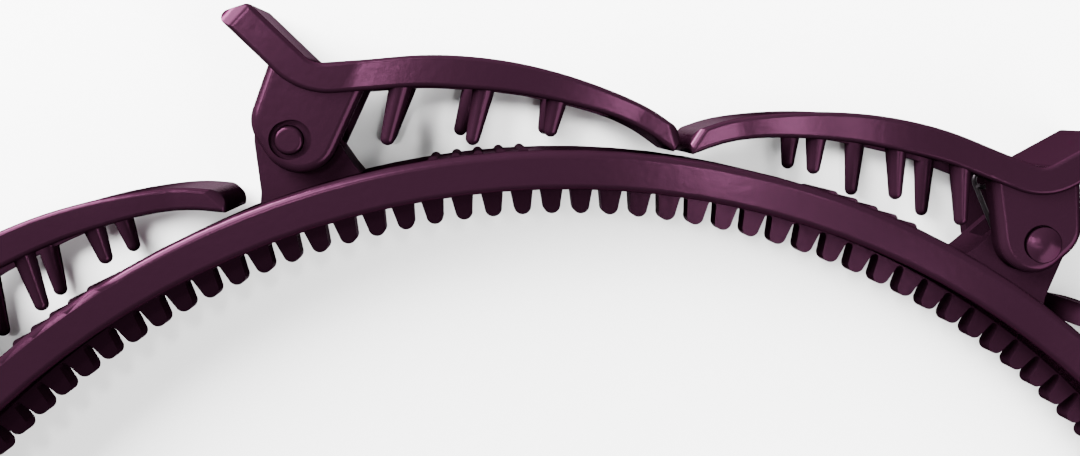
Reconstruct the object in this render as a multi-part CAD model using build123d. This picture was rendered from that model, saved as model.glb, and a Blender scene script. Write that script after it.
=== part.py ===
from build123d import *
import os
from math import cos, radians, sin

# Headband with four hinged clips. Millimetres, +Z up, the hoop lying flat on its side.
# Until the last step the centre of the crown arch is the origin, the crown points to +Y and the
# middle of the band's depth is at Z = 0. A clip is built round its own pin, X towards its nose
# along the band and Y outwards, as it stands on the left of the crown; the clips on the right are
# the same pieces turned over.

# Hoop
crown_radius = 70.0
crown_half_angle = 80.0
side_radius = 110.0
side_angle = 32.0
band_end_straight = 6.0
band_thickness = 3.2
band_depth = 11.6
outer_edge_round = 0.65
inner_edge_round = 0.5
band_end_round = 4.5

# Comb on the inner side of the hoop
comb_pitch_angle = 2.166
comb_teeth_each_side = 35
comb_tooth_length = 2.3
comb_root_width = 1.8
comb_tip_width = 1.45
comb_depth = 2.2
comb_foot = 0.1
comb_sunk = 0.4

# Clip hinges along the hoop
clip_first_angle = 25.3
clip_pitch_angle = 30.0
pivot_height = 4.1
pin_diameter = 2.3
pin_lug_clearance = 0.03
pin_ear_clearance = 0.05
pin_head_diameter = 3.0
pin_dome = 0.3
pin_tail_recess = 0.1
pin_tail_round = 0.3

# Hinge lug
lug_width = 5.4
lug_slot = 3.2
lug_round = 3.0
lug_lever_foot = 3.7
lug_nose_foot = 4.1
lug_foot_flare = 0.6
lug_foot_height = 0.8
lug_sunk = 0.7

# Grip ridges on the hoop under each clip
ridge_first_angle = 8.6
ridge_pitch_angle = 1.5
ridge_count = 5
ridge_radius = 0.45
ridge_height = 0.28
ridge_inset = 1.0

# Clip arm
arm_width = 11.4
arm_height = 9.0
arm_edge_round = 0.35
bulge = 0.5
bulge_start = 2.3
bulge_end = 23.8
bulge_lean = 45
bulge_end_round = 8.0
plate_thickness = 1.2
rail_width = 1.9
lever_length = 10.85
lever_angle = 28.4
lever_offset = 4.5
lever_thickness = 2.55
lever_top_cut = 1.35
lever_end_round = 0.6
lever_corner_round = 1.8
bend_inner_round = 1.7
bend_outer_round = 6.0
window_start = 9.4
window_end = 25.4
window_round = 1.6
window_overlap = 1.0
nose_corner_round = 0.8

# Ears of the arm
ear_radius = 3.1
ear_centre = (0.95, 0.2)
ear_back_radius = 2.85
ear_back_centre = (0.35, 1.5)
ear_inner = 2.9
ear_thickness = 2.0
ear_edge_round = 0.7
ear_pocket_clearance = 0.05
ear_pocket_shift = 0.3
ear_pocket_depth = 0.6

# Teeth of the arm
jaw_root_diameter = 1.9
jaw_tip_diameter = 1.15
jaw_side_inset = 0.35
jaw_sunk = 0.8

# Spring
wire_diameter = 0.5
coil_clearance = 0.1
coil_turns = 6
coil_pitch = 0.48
spring_leg_reach = 5.6
spring_eye_radius = 0.65

# The bow of the arm: share of the way from pin to nose, then the heights of its top and its
# underside over the hoop as shares of the arm's height
BOW = (
    (0.22, 0.975, 0.701),
    (0.34, 0.932, 0.651),
    (0.46, 0.867, 0.576),
    (0.58, 0.773, 0.499),
    (0.70, 0.652, 0.402),
    (0.82, 0.512, 0.293),
    (0.92, 0.370, 0.150),
)
# The nose: share of the way and height share of three spots round it
NOSE = ((0.9605, 0.293), (0.985, 0.165), (0.974, 0.045))
# Jaw teeth: the row's side, share of the way of the root, then of the tip, tip's height share
JAW_TEETH = (
    (-1, 0.290, 0.218, 0.210),
    (-1, 0.461, 0.411, 0.160),
    (-1, 0.666, 0.646, 0.115),
    (1, 0.290, 0.228, 0.200),
    (1, 0.488, 0.443, 0.083),
    (1, 0.666, 0.646, 0.115),
)
# Where the ears run up into the arm, as shares of the lever's length and thickness
EAR_ON_LEVER = (0.51, 0.24)

pivot_radius = crown_radius + pivot_height
inner_radius = crown_radius - band_thickness
pin_radius = pin_diameter / 2
pin_head_radius = pin_head_diameter / 2
ear_outer = ear_inner + ear_thickness
coil_radius = pin_radius + coil_clearance + wire_diameter / 2
coil_end = (coil_turns - 1) * coil_pitch / 2


def spot(radius, angle):
    return Vector(radius * sin(radians(angle)), radius * cos(radians(angle)))


def sweep_arc(centre, radius, start, end):
    return CenterArc(centre, radius, 90 - start, start - end)


def prism(face, low, high):
    return Pos(0, 0, low) * extrude(face, high - low, dir=(0, 0, 1))


def over_band(share, height_share):
    height = arm_height * height_share
    return spot(crown_radius + height, clip_first_angle * share) - Vector(0, pivot_radius)


def on_lever(along, across):
    turn = radians(lever_angle)
    return Vector(
        across * cos(turn) - along * sin(turn),
        across * sin(turn) + along * cos(turn),
    )


def meet(point_a, direction_a, point_b, direction_b):
    turn = direction_a.X * direction_b.Y - direction_a.Y * direction_b.X
    gap = point_b - point_a
    reach = (gap.X * direction_b.Y - gap.Y * direction_b.X) / turn
    return point_a + direction_a * reach


def rounded_corner(face, corner, radius):
    return fillet(face.vertices().sort_by_distance(corner)[0], radius)


# Hoop

def hoop():
    middle = Vector(0, 0)
    centre = spot(crown_radius - band_thickness / 2 - side_radius, crown_half_angle)
    far = crown_half_angle + side_angle
    straight = spot(band_end_straight, far + 90)
    paths = []
    tips = []
    for crown, across in ((crown_radius, band_thickness / 2), (inner_radius, -band_thickness / 2)):
        start = centre + spot(side_radius + across, far)
        side = [
            sweep_arc(centre, side_radius + across, crown_half_angle, far),
            Line(start, start + straight),
        ]
        tips.append(start + straight)
        crown_arc = sweep_arc(middle, crown, -crown_half_angle, crown_half_angle)
        paths.append([crown_arc] + side + [mirror(edge, about=Plane.YZ) for edge in side])
    end = Line(*tips)
    outline = paths[0] + paths[1] + [end, mirror(end, about=Plane.YZ)]
    band = prism(make_face(outline), -band_depth / 2, band_depth / 2)
    short = [edge for edge in band.edges() if is_at(edge.center(), end @ 0.5)]
    band = fillet(short, band_end_round)
    band = fillet(rim_edges(band, paths[0], tips[0]), outer_edge_round)
    return fillet(rim_edges(band, paths[1], tips[1]), inner_edge_round)


def is_at(point, place):
    return (Vector(abs(point.X), point.Y) - place).length < 0.001


def rim_edges(band, path, tip):
    def on_path(point):
        flat = Vector(point.X, point.Y)
        return min(edge.distance_to(flat) for edge in path) < 0.001

    def is_seam(edge):
        upright = abs((edge % 0.5).Z) > 0.999
        return upright and not is_at(edge @ 0, tip)

    return [
        edge
        for edge in band.edges()
        if all(on_path(edge @ part) for part in (0, 0.5, 1)) and not is_seam(edge)
    ]


# Comb: one strip with all its teeth, drawn tooth by tooth

def comb():
    foot = inner_radius - comb_foot
    half_pitch = foot * radians(comb_pitch_angle) / 2
    gap_round = half_pitch - comb_root_width / 2
    tip = inner_radius - comb_tooth_length
    tip_round = comb_tip_width / 2
    slant = gap_round * sin(radians(45))
    half = [
        (-half_pitch, foot),
        (-half_pitch + slant, foot - gap_round + slant),
        (-comb_root_width / 2, foot - gap_round),
        (-tip_round, tip + tip_round),
    ]
    edges = []
    for number in range(-comb_teeth_each_side, comb_teeth_each_side + 1):
        angle = number * comb_pitch_angle
        left = [Vector(*point).rotate(Axis.Z, -angle) for point in half]
        right = [Vector(-x, y).rotate(Axis.Z, -angle) for x, y in half]
        edges += [
            ThreePointArc(left[0], left[1], left[2]),
            Line(left[2], left[3]),
            ThreePointArc(left[3], spot(tip, angle), right[3]),
            Line(right[3], right[2]),
            ThreePointArc(right[2], right[1], right[0]),
        ]
        if number > -comb_teeth_each_side:
            edges.append(Line(last, left[0]))
        else:
            first = left[0]
        last = right[0]
    reach = (comb_teeth_each_side + 0.5) * comb_pitch_angle
    back = inner_radius + comb_sunk
    edges += [
        Line(last, spot(back, reach)),
        sweep_arc(Vector(0, 0), back, reach, -reach),
        Line(spot(back, -reach), first),
    ]
    return prism(make_face(edges), -comb_depth / 2, comb_depth / 2)


# Hinge lug, round its pin

def lug():
    surface = -pivot_height
    shoulder = surface + lug_foot_height
    base = surface - lug_sunk
    lever_side = -lug_lever_foot
    nose_side = lug_nose_foot
    top = Circle(lug_round).edges() + Line((lever_side, shoulder), (nose_side, shoulder)).edges()
    outline = make_hull(top)
    flare = lug_foot_flare
    bend = (flare * 0.27, lug_foot_height * 0.5)
    foot = make_face(
        [
            ThreePointArc(
                (lever_side, shoulder),
                (lever_side - bend[0], surface + bend[1]),
                (lever_side - flare, base),
            ),
            Line((lever_side - flare, base), (nose_side + flare, base)),
            ThreePointArc(
                (nose_side + flare, base),
                (nose_side + bend[0], surface + bend[1]),
                (nose_side, shoulder),
            ),
            Line((nose_side, shoulder), (lever_side, shoulder)),
        ]
    )
    body = prism(outline + foot, -lug_width / 2, lug_width / 2)
    floor = -(coil_radius + wire_diameter / 2 + coil_clearance)
    slot_height = 2 * lug_round - floor
    slot = Pos(0, floor + slot_height / 2, 0) * Box(4 * lug_nose_foot, slot_height, lug_slot)
    return body - slot - Cylinder(pin_radius + pin_lug_clearance, 2 * lug_width)


def ridges():
    length = band_depth - 2 * ridge_inset
    centre_radius = crown_radius + ridge_height - ridge_radius
    bars = []
    for number in range(ridge_count):
        angle = ridge_first_angle + number * ridge_pitch_angle - clip_first_angle
        middle = spot(centre_radius, angle).rotate(Axis.Z, -clip_first_angle)
        bars.append(Pos(middle.X, middle.Y - pivot_radius, 0) * Cylinder(ridge_radius, length))
    return bars


# Clip arm, round its pin

def arm_points():
    neck_top = over_band(BOW[0][0], BOW[0][1])
    neck_under = over_band(BOW[0][0], BOW[0][2])
    next_top = over_band(BOW[1][0], BOW[1][1])
    next_under = over_band(BOW[1][0], BOW[1][2])
    along_neck = (neck_top + neck_under - next_top - next_under).normalized()
    along_lever = on_lever(1, 0)
    half = lever_thickness / 2
    bend_top = meet(on_lever(0, lever_offset + half), along_lever, neck_top, along_neck)
    bend_under = meet(on_lever(0, lever_offset - half), along_lever, neck_under, along_neck)
    return neck_top, neck_under, bend_top, bend_under, along_neck


def arm_side():
    neck_top, neck_under, bend_top, bend_under, along_neck = arm_points()
    half = lever_thickness / 2
    end_top = on_lever(lever_length - lever_top_cut, lever_offset + half)
    end_under = on_lever(lever_length, lever_offset - half)
    nose = [over_band(*place) for place in NOSE]
    top = [over_band(share, high) for share, high, low in BOW] + [nose[0]]
    under = [nose[2]] + [over_band(share, low) for share, high, low in reversed(BOW)]
    tail = (nose[0] - top[-2]).normalized()
    entry = (under[1] - nose[2]).normalized()
    face = make_face(
        [
            Line(end_under, end_top),
            Line(end_top, bend_top),
            Line(bend_top, neck_top),
            Spline(*top, tangents=[-along_neck, tail]),
            ThreePointArc(*nose),
            Spline(*under, tangents=[entry, along_neck]),
            Line(neck_under, bend_under),
            Line(bend_under, end_under),
        ]
    )
    for corner, radius in (
        (bend_top, bend_inner_round),
        (bend_under, bend_outer_round),
        (end_top, lever_end_round),
        (end_under, lever_end_round),
    ):
        face = rounded_corner(face, corner, radius)
    return face


def arm_body():
    side = arm_side()
    body = prism(side, -arm_width / 2, arm_width / 2) & bulging_sides()
    body = fillet(arm_rims(body, side), arm_edge_round)
    body -= neck_pocket()
    body -= window()
    return body - corner_cutters()


def arm_rims(body, side):
    outline = side.face().outer_wire()

    def on_outline(point):
        return outline.distance_to(Vector(point.X, point.Y)) < 0.001

    return [
        edge
        for edge in body.edges()
        if all(on_outline(edge @ part) for part in (0, 0.5, 1)) and abs((edge % 0.5).Z) < 0.9
    ]


# What the arm's flat sides keep: they bulge along the bow in one shallow arc each

def bulging_sides():
    widest = arm_width / 2
    narrow = widest - bulge
    reach = 2 * (lever_length + window_end)
    corners = [(-reach, narrow), (bulge_start, narrow), (bulge_end, narrow), (reach, narrow)]
    middle = (bulge_start + bulge_end) / 2
    lower = [(along, -across) for along, across in corners]
    outline = make_face(
        [
            Line(corners[0], corners[1]),
            ThreePointArc(corners[1], (middle, widest), corners[2]),
            Line(corners[2], corners[3]),
            Line(corners[3], lower[3]),
            Line(lower[3], lower[2]),
            ThreePointArc(lower[2], (middle, -widest), lower[1]),
            Line(lower[1], lower[0]),
            Line(lower[0], corners[0]),
        ]
    )
    for place in (corners[1], corners[2], lower[1], lower[2]):
        outline = rounded_corner(outline, Vector(*place), bulge_end_round)
    across = Vector(1, 0).rotate(Axis.Z, -bulge_lean)
    plan = Plane(origin=(0, 0, 0), x_dir=across, z_dir=across.cross(Vector(0, 0, 1)))
    return plan.location * extrude(outline, reach, both=True)


def neck_pocket():
    neck_top, neck_under, bend_top, bend_under, along_neck = arm_points()
    lever_under = lever_offset + lever_thickness / 2 - plate_thickness
    plate_drop = along_neck.rotate(Axis.Z, 90) * plate_thickness
    start = neck_top + plate_drop
    bend = meet(on_lever(0, lever_under), on_lever(1, 0), start, along_neck)
    reach = window_start + window_overlap
    edge = meet(start, along_neck, Vector(reach, 0), Vector(0, 1))
    rim = lever_length - plate_thickness
    path = [
        on_lever(rim, lever_under),
        bend,
        edge,
        Vector(reach, -pivot_height),
        on_lever(0, -lever_offset),
        on_lever(rim, -lever_offset),
    ]
    inner = arm_width / 2 - rail_width
    return prism(make_face(Polyline(*path, close=True)), -inner, inner)


def window():
    plan = Plane.XZ * RectangleRounded(
        window_end - window_start, arm_width - 2 * rail_width, window_round
    )
    reach = arm_height * 3
    return Pos((window_start + window_end) / 2, reach, 0) * extrude(plan, 2 * reach)


def corner_cutters():
    half = arm_width / 2 - bulge
    nose = Plane(
        origin=(arm_side().bounding_box().max.X, over_band(*NOSE[1]).Y, 0),
        x_dir=(1, 0, 0),
        z_dir=(0, 1, 0),
    )
    lever = Plane(
        origin=on_lever(lever_length, lever_offset),
        x_dir=on_lever(1, 0),
        z_dir=on_lever(0, 1),
    )
    cutters = []
    for end, size in ((nose, nose_corner_round), (lever, lever_corner_round)):
        for side in (-1, 1):
            block = Pos(0, side * half, 0) * Box(2 * size, 2 * size, arm_height)
            bar = Pos(-size, side * (half - size), 0) * Cylinder(size, 2 * arm_height)
            cutters.append(end.location * (block - bar))
    return cutters


def ear_outline():
    neck_top, neck_under, bend_top, bend_under, along_neck = arm_points()
    lower = Pos(*ear_centre) * Circle(ear_radius)
    back = Pos(*ear_back_centre) * Circle(ear_back_radius)
    on_plate = neck_top * 0.35 + neck_under * 0.65
    on_bend = bend_top * 0.4 + bend_under * 0.6
    on_arm = on_lever(
        lever_length * EAR_ON_LEVER[0], lever_offset - lever_thickness * EAR_ON_LEVER[1]
    )
    edges = lower.edges() + back.edges()
    edges += Polyline(on_arm, on_bend, on_plate).edges()
    return make_hull(edges)


def ears():
    outline = ear_outline()
    pieces = []
    for side in (-1, 1):
        low, high = sorted((side * ear_inner, side * ear_outer))
        plate = prism(outline, low, high)
        rim = [edge for edge in plate.edges() if abs((edge @ 0.5).Z - side * ear_outer) < 0.001]
        plate = fillet(rim, ear_edge_round)
        pocket = Cylinder(pin_head_radius + ear_pocket_clearance, 2 * ear_pocket_depth)
        plate -= Pos(0, 0, side * ear_outer) * pocket
        plate -= Pos(ear_pocket_shift, 0, side * ear_outer) * pocket
        pieces.append(plate)
    return pieces


def spike(root, tip):
    root_radius = jaw_root_diameter / 2
    tip_radius = jaw_tip_diameter / 2
    length = (tip - root).length
    side = sin(radians(45)) * tip_radius
    half = make_face(
        [
            Line((0, 0), (root_radius, 0)),
            Line((root_radius, 0), (tip_radius, length - tip_radius)),
            ThreePointArc(
                (tip_radius, length - tip_radius),
                (side, length - tip_radius + side),
                (0, length),
            ),
            Line((0, length), (0, 0)),
        ]
    )
    body = revolve(half, Axis.Y)
    across = (tip - root).cross(Vector(0, 0, 1))
    return Plane(origin=root, x_dir=across, z_dir=(0, 0, 1)).location * body


def jaw_teeth():
    row = (arm_width - jaw_root_diameter) / 2 - jaw_side_inset
    teeth = []
    for side, root_share, tip_share, tip_height in JAW_TEETH:
        under = bow_under(root_share)
        tip = over_band(tip_share, tip_height)
        start = under - (tip - under).normalized() * jaw_sunk
        height = Vector(0, 0, side * row)
        teeth.append(spike(start + height, tip + height))
    return teeth


def bow_under(share):
    for first, second in zip(BOW, BOW[1:]):
        if first[0] <= share <= second[0]:
            part = (share - first[0]) / (second[0] - first[0])
            return over_band(share, first[2] + part * (second[2] - first[2]))


def arm():
    body = arm_body() + ears() + jaw_teeth()
    return body - Cylinder(pin_radius + pin_ear_clearance, 2 * arm_width)


# Pin, its domed head in the pocket of the lower ear and its plain tail in the upper one's

def pin():
    dome_top = ear_outer + pin_dome
    dome_radius = (pin_head_radius**2 + pin_dome**2) / (2 * pin_dome)
    head_foot = ear_outer - ear_pocket_depth + ear_pocket_clearance
    head = prism(Circle(pin_head_radius).face(), -dome_top, -head_foot)
    head &= Pos(0, 0, dome_radius - dome_top) * Sphere(dome_radius)
    tail = ear_outer - pin_tail_recess
    shaft = prism(Circle(pin_radius).face(), -ear_outer, tail)
    shaft = fillet(shaft.edges().sort_by(Axis.Z)[-1], pin_tail_round)
    return head + shaft


# Spring: its closed coil, the leg with an eye that holds the arm and the leg on the slot's floor

def spring():
    ring = Circle(wire_diameter / 2)
    profile = Sketch() + [
        Pos(coil_radius, number * coil_pitch - coil_end) * ring for number in range(coil_turns)
    ]
    coil = Rot(90, 0, 0) * revolve(profile, Axis.Y)
    neck_top, neck_under, bend_top, bend_under, along_neck = arm_points()
    seat = plate_thickness + coil_clearance + spring_eye_radius + wire_diameter / 2
    line_start = neck_top + along_neck.rotate(Axis.Z, 90) * seat
    eye = meet(line_start, along_neck, Vector(spring_leg_reach, 0), Vector(0, 1))
    leg_end = eye + Vector(-spring_eye_radius, 0)
    start = Vector(0, coil_radius)
    arm_leg = wire(start, leg_end, coil_end)
    ring_end = Pos(eye.X, eye.Y, coil_end) * Torus(spring_eye_radius, wire_diameter / 2)
    floor_end = Vector(-lug_lever_foot * 0.8, -coil_radius)
    floor_leg = wire(Vector(0, -coil_radius), floor_end, -coil_end)
    return coil + arm_leg + ring_end + floor_leg


def wire(start, end, height):
    run = end - start
    place = Plane(origin=(start.X, start.Y, height), z_dir=run)
    return place.location * Cylinder(
        wire_diameter / 2, run.length, align=(Align.CENTER, Align.CENTER, Align.MIN)
    )


def placed(shape, angle):
    pivot = spot(pivot_radius, -abs(angle))
    on_left = Location((pivot.X, pivot.Y, 0), (0, 0, abs(angle))) * shape
    return Rot(0, 180, 0) * on_left if angle > 0 else on_left


second_angle = clip_first_angle + clip_pitch_angle
clips = {
    "far_left": -second_angle,
    "left": -clip_first_angle,
    "right": clip_first_angle,
    "far_right": second_angle,
}

headband = hoop() + comb()
hinge_lug = lug()
grip = ridges()
for angle in clips.values():
    headband += placed(hinge_lug, angle)
    headband += [placed(bar, angle) for bar in grip]

nodes = {"headband": headband}
clip_arm = arm()
clip_pin = pin()
clip_spring = spring()
for name, angle in clips.items():
    nodes["arm_" + name] = placed(clip_arm, angle)
    nodes["pin_" + name] = placed(clip_pin, angle)
    nodes["spring_" + name] = placed(clip_spring, angle)

bounds = Compound(list(nodes.values())).bounding_box()
middle_y = round(bounds.center().Y, 3)
lowest = round(bounds.min.Z, 3)
os.makedirs("parts", exist_ok=True)
for name, shape in nodes.items():
    export_step(Pos(0, -middle_y, -lowest) * shape, "parts/" + name + ".step")
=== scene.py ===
import math

import bpy
from mathutils import Euler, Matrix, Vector


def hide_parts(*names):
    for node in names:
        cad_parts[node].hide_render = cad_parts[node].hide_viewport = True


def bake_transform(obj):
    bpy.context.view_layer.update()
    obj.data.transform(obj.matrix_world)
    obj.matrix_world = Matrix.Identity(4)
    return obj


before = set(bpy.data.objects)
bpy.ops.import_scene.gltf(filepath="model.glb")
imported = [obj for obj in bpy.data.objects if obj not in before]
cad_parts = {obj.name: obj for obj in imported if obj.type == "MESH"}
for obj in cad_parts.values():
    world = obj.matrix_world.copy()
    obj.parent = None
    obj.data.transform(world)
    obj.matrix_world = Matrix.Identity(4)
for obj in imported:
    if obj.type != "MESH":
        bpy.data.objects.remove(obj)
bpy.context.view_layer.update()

# The camera that the photograph's edges fit: metres and degrees in the model's frame, lens in millimetres
CAMERA_PLACE = (-0.01789, 0.06066, 0.11644)
CAMERA_TURN = (-7.185, -4.783, 8.149)
CAMERA_LENS = 43.44
CAMERA_SENSOR = 36
CAMERA_SHIFT = (-0.0356, 0.0351)
CAMERA_NEAR = 0.01

# Colours, as linear RGB with alpha
PLUM = (0.0145, 0.0047, 0.0101, 1)
PLUM_LIGHT = (0.0155, 0.0050, 0.0108, 1)
PLUM_DARK = (0.0135, 0.0044, 0.0094, 1)
PLUM_RIM = (0.05, 0.02, 0.035, 1)
PLUM_SKIN = (0.90, 0.87, 0.89, 1)
STEEL_LIGHT = (0.036, 0.030, 0.034, 1)
STEEL_DARK = (0.024, 0.020, 0.023, 1)
PAPER = (0.90, 0.90, 0.90, 1)
PAPER_LIGHT = (0.92, 0.92, 0.92, 1)
WHITE = (1, 1, 1, 1)

# Noise patterns: scale per metre, octaves of detail, and each octave's strength as a share of the one before
PLUM_CLOUDS = (55, 3, 0.5)
PLUM_RUB = (140, 5, 0.6)
PLUM_GRAIN = (1400, 3, 0.6)
STEEL_CLOUDS = (900, 4, 0.5)
STEEL_RUB = (2200, 3, 0.5)
PAPER_CLOUDS = (30, 2, 0.5)

# Noise values, from 0 to 1, at which a pattern's first, middle and last value are reached
LOW = 0.3
MIDDLE = 0.5
HIGH = 0.7
PLUM_HIGH = 0.72

# Surfaces: the plastic's share of pearl, roughness from smooth to rough, and the grain's strength and height
PEARL = 0.60
PLUM_ROUGHNESS = (0.20, 0.22)
STEEL_ROUGHNESS = (0.38, 0.50)
PAPER_ROUGHNESS = 0.9
PAPER_SHINE = 0.1
GRAIN_STRENGTH = 0.10
GRAIN_HEIGHT = 0.00012

# The clips' pins, in metres and in degrees from the crown's top
CROWN_CENTRE_Y = -0.011388
PIVOT_RADIUS = 0.0741
MIDDLE_Z = 0.0058
CLIPS = {"far_left": -55.3, "left": -25.3, "right": 25.3, "far_right": 55.3}

# The springs in their pin's frame, in metres and degrees: a leg on the lug's floor, turns round the pin, and
# an eye in the arm.
WIRE_RADIUS = 0.00022
COIL_RADIUS = 0.0015
COIL_HALF = 0.00120
COIL_TURNS = 5
COIL_START = -90
FLOOR_LEG = 0.0029
EYE = (0.0056, 0.00252)
EYE_RADIUS = 0.00065
EYE_SWEEP = 350

# How finely a spring's wire is divided
TURN_STEPS = 28
LEG_STEPS = 8
WIRE_SIDES = 10

# The room: a floor just under the object, and an even surround
FLOOR_SIZE = 3.0
FLOOR_DROP = 0.0001
WORLD_LEVEL = 0.4


def new_node(tree, kind, **inputs):
    """A shader node with its sockets set; a socket's spaces are written as underscores."""
    node = tree.nodes.new(kind)
    for name, value in inputs.items():
        node.inputs[name.replace("_", " ")].default_value = value
    return node


def noise(tree, pattern):
    """Noise over the object's own coordinates, which every pattern of a material shares."""
    scale, detail, roughness = pattern
    node = new_node(tree, "ShaderNodeTexNoise", Scale=scale, Detail=detail, Roughness=roughness)
    place = tree.nodes.get("Place") or tree.nodes.new("ShaderNodeTexCoord")
    place.name = "Place"
    tree.links.new(place.outputs["Object"], node.inputs["Vector"])
    return node.outputs["Fac"]


def ramp(tree, source, stops):
    """A colour ramp on a value, with stops given as place and colour."""
    node = tree.nodes.new("ShaderNodeValToRGB")
    tree.links.new(source, node.inputs["Fac"])
    while len(node.color_ramp.elements) < len(stops):
        node.color_ramp.elements.new(MIDDLE)
    for element, (place, colour) in zip(node.color_ramp.elements, stops):
        element.position = place
        element.color = colour
    return node.outputs["Color"]


def rubbed(tree, pattern, roughness):
    """A roughness that wanders between two values, as grey."""
    smooth, rough = [(value, value, value, 1) for value in roughness]
    return ramp(tree, noise(tree, pattern), ((LOW, smooth), (HIGH, rough)))


def new_material(name):
    """A material with its node tree and its shader."""
    material = bpy.data.materials.new(name)
    material.use_nodes = True
    tree = material.node_tree
    return material, tree, tree.nodes["Principled BSDF"]


def satin_plum():
    """Satin moulded plastic with a pearl sheen of its own colour that stays dark at its rims."""
    material, tree, shader = new_material("satin_plum")
    tone = ramp(tree, noise(tree, PLUM_CLOUDS), ((LOW, PLUM_DARK), (MIDDLE, PLUM), (PLUM_HIGH, PLUM_LIGHT)))
    tree.links.new(tone, shader.inputs["Base Color"])
    tree.links.new(rubbed(tree, PLUM_RUB, PLUM_ROUGHNESS), shader.inputs["Roughness"])
    shader.inputs["Metallic"].default_value = PEARL
    shader.inputs["Specular Tint"].default_value = PLUM_RIM
    # Apart from its share of pearl the plastic has no shine
    shader.inputs["Specular IOR Level"].default_value = 0.0
    # A coat that reflects nothing and soaks up light, most of all where it is seen at a low angle
    shader.inputs["Coat Weight"].default_value = 1.0
    shader.inputs["Coat IOR"].default_value = 1.0
    shader.inputs["Coat Tint"].default_value = PLUM_SKIN
    grain = new_node(tree, "ShaderNodeBump", Strength=GRAIN_STRENGTH, Distance=GRAIN_HEIGHT)
    tree.links.new(noise(tree, PLUM_GRAIN), grain.inputs["Height"])
    tree.links.new(grain.outputs["Normal"], shader.inputs["Normal"])
    return material


def drawn_wire():
    """Dark drawn steel wire."""
    material, tree, shader = new_material("drawn_wire")
    tone = ramp(tree, noise(tree, STEEL_CLOUDS), ((LOW, STEEL_DARK), (HIGH, STEEL_LIGHT)))
    tree.links.new(tone, shader.inputs["Base Color"])
    tree.links.new(rubbed(tree, STEEL_RUB, STEEL_ROUGHNESS), shader.inputs["Roughness"])
    shader.inputs["Metallic"].default_value = 1.0
    return material


def paper():
    """Pale dull paper for the floor."""
    material, tree, shader = new_material("paper")
    tone = ramp(tree, noise(tree, PAPER_CLOUDS), ((LOW, PAPER), (HIGH, PAPER_LIGHT)))
    tree.links.new(tone, shader.inputs["Base Color"])
    shader.inputs["Roughness"].default_value = PAPER_ROUGHNESS
    shader.inputs["Specular IOR Level"].default_value = PAPER_SHINE
    return material


def on_circle(centre, radius, angle, height):
    """The point of a level circle at an angle in degrees, at a height."""
    turn = math.radians(angle)
    return Vector((centre[0] + radius * math.cos(turn), centre[1] + radius * math.sin(turn), height))


def wire_path():
    """The wound wire in its pin's frame: floor leg, close turns, the leg to the arm and its eye.

    The leg to the arm touches the coil and the eye on the same side, so its ends lie at one angle on both.
    """
    reach = math.hypot(*EYE)
    lean = math.degrees(math.atan2(EYE[1], EYE[0]) + math.asin((COIL_RADIUS - EYE_RADIUS) / reach))
    leave = lean - 90
    sweep = 360 * COIL_TURNS + leave - COIL_START
    points = [Vector((-FLOOR_LEG * share, -COIL_RADIUS, -COIL_HALF)) for share in (1, 0.5)]
    steps = round(sweep / 360 * TURN_STEPS)
    for step in range(steps + 1):
        part = step / steps
        points.append(on_circle((0, 0), COIL_RADIUS, part * sweep + COIL_START, (2 * part - 1) * COIL_HALF))
    start = points[-1]
    entry = on_circle(EYE, EYE_RADIUS, leave, COIL_HALF)
    points += [start.lerp(entry, step / LEG_STEPS) for step in range(1, LEG_STEPS)]
    for step in range(TURN_STEPS):
        part = step / TURN_STEPS
        drop = 2 * WIRE_RADIUS * part
        points.append(on_circle(EYE, EYE_RADIUS, leave + EYE_SWEEP * part, COIL_HALF - drop))
    return points


def tube(name, path, radius, sides):
    """A round wire along a path, its rings carried from point to point without twist."""
    verts = []
    faces = []
    normal = Vector((0, 0, 1))
    for index, point in enumerate(path):
        along = (path[min(index + 1, len(path) - 1)] - path[max(index - 1, 0)]).normalized()
        normal = (normal - along * normal.dot(along)).normalized()
        side = along.cross(normal)
        for corner in range(sides):
            turn = 2 * math.pi * corner / sides
            verts.append(point + (normal * math.cos(turn) + side * math.sin(turn)) * radius)
    for ring in range(len(path) - 1):
        for corner in range(sides):
            following = (corner + 1) % sides
            low = ring * sides
            faces.append((low + corner, low + following, low + sides + following, low + sides + corner))
    faces.append(tuple(range(sides - 1, -1, -1)))
    faces.append(tuple(range(len(verts) - sides, len(verts))))
    mesh = bpy.data.meshes.new(name)
    mesh.from_pydata(verts, [], faces)
    mesh.polygons.foreach_set("use_smooth", [len(face) == 4 for face in faces])
    mesh.update()
    piece = bpy.data.objects.new(name, mesh)
    bpy.context.collection.objects.link(piece)
    return piece


def from_pin(point, angle):
    """A point of a pin's frame in the model's frame; the right clips are the left ones turned over."""
    turn = math.radians(abs(angle))
    x = -PIVOT_RADIUS * math.sin(turn) + point[0] * math.cos(turn) - point[1] * math.sin(turn)
    y = PIVOT_RADIUS * math.cos(turn) + point[0] * math.sin(turn) + point[1] * math.cos(turn)
    side = -1 if angle > 0 else 1
    return Vector((side * x, y + CROWN_CENTRE_Y, MIDDLE_Z + side * point[2]))


def add_spring(name, angle, material):
    """One clip's wound spring, from its coil to its eye, in place of the CAD spring."""
    path = [from_pin(point, angle) for point in wire_path()]
    piece = tube("coil_" + name, path, WIRE_RADIUS, WIRE_SIDES)
    piece.data.materials.append(material)
    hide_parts("spring_" + name)
    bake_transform(piece)


def repaint(node, material):
    """Puts one material in every slot of a CAD node."""
    for place in node.material_slots:
        place.material = material


def add_floor(material):
    """The plain floor that the headband lies on."""
    bpy.ops.mesh.primitive_plane_add(size=FLOOR_SIZE, location=(0, 0, -FLOOR_DROP))
    floor = bpy.context.object
    floor.name = "floor"
    floor.data.materials.append(material)


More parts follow.
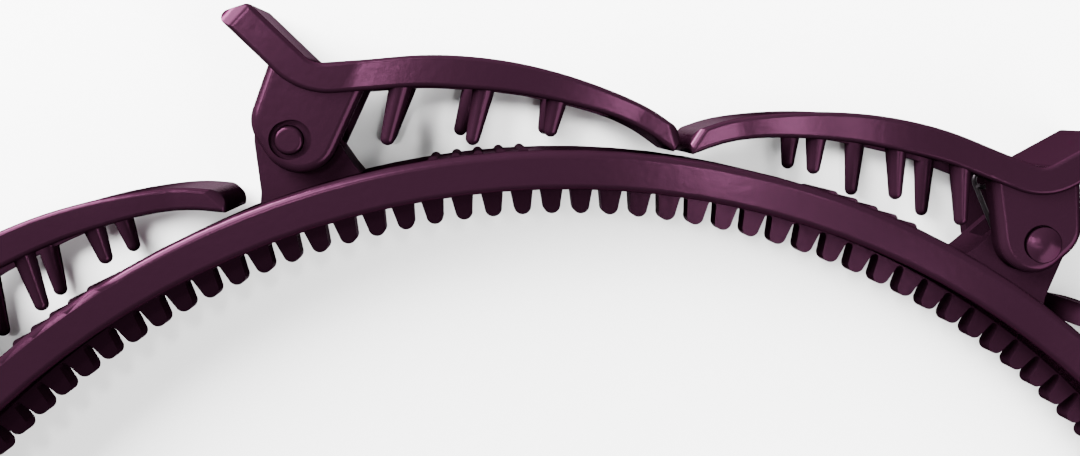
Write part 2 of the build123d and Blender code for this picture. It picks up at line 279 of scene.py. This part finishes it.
def add_camera():
    """The camera of the photograph's view."""
    data = bpy.data.cameras.new("camera")
    data.lens = CAMERA_LENS
    data.sensor_width = CAMERA_SENSOR
    data.shift_x, data.shift_y = CAMERA_SHIFT
    data.clip_start = CAMERA_NEAR
    camera = bpy.data.objects.new("camera", data)
    camera.location = CAMERA_PLACE
    camera.rotation_euler = Euler([math.radians(turn) for turn in CAMERA_TURN])
    bpy.context.collection.objects.link(camera)
    bpy.context.scene.camera = camera


def add_light(name, place, aim, size, power):
    """A rectangular light: place, aim and size in metres, power in watts."""
    data = bpy.data.lights.new(name, "AREA")
    data.shape = "RECTANGLE"
    data.size, data.size_y = size
    data.energy = power
    light = bpy.data.objects.new(name, data)
    light.location = place
    look = Vector(aim) - Vector(place)
    light.rotation_euler = look.to_track_quat("-Z", "Y").to_euler()
    bpy.context.collection.objects.link(light)


def add_world(level):
    """An even white surround at a level of brightness."""
    world = bpy.data.worlds.new("studio")
    world.use_nodes = True
    back = world.node_tree.nodes["Background"]
    back.inputs["Color"].default_value = WHITE
    back.inputs["Strength"].default_value = level
    bpy.context.scene.world = world


plum = satin_plum()
wire = drawn_wire()
for name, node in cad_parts.items():
    repaint(node, wire if name.startswith("spring") else plum)

for name, angle in CLIPS.items():
    add_spring(name, angle, wire)

add_floor(paper())
add_camera()

# Soft lights: the key at the upper left, a fill at the right, a small one overhead and one low at the left
add_light("key", place=(-0.40, 0.30, 0.35), aim=(0, 0.05, 0), size=(0.40, 0.40), power=30)
add_light("fill", place=(0.5, -0.2, 0.4), aim=(0, 0.05, 0), size=(0.5, 0.5), power=12)
add_light("glow_left", place=(-0.185, 0.130, 0.6), aim=(-0.03, 0.06, 0), size=(0.10, 0.05), power=1.7)
add_light("side", place=(-0.45, 0.40, 0.12), aim=(0, 0.06, 0), size=(0.30, 0.15), power=38)

# Small low lights that the right arm and the comb mirror to the camera
add_light(
    "glow_right", place=(0.0195, 0.064, 0.100), aim=(0.006, 0.06, 0.01), size=(0.019, 0.006), power=0.041
)
add_light(
    "glow_right_end", place=(0.037, 0.067, 0.100), aim=(0.014, 0.06, 0.01), size=(0.016, 0.006), power=0.015
)
add_light(
    "glow_comb_left", place=(0.026, 0.0455, 0.096), aim=(0.026, 0.0455, 0), size=(0.018, 0.004), power=0.007
)
add_light(
    "glow_comb_right", place=(0.045, 0.0420, 0.096), aim=(0.045, 0.0420, 0), size=(0.020, 0.004), power=0.008
)

add_world(WORLD_LEVEL)
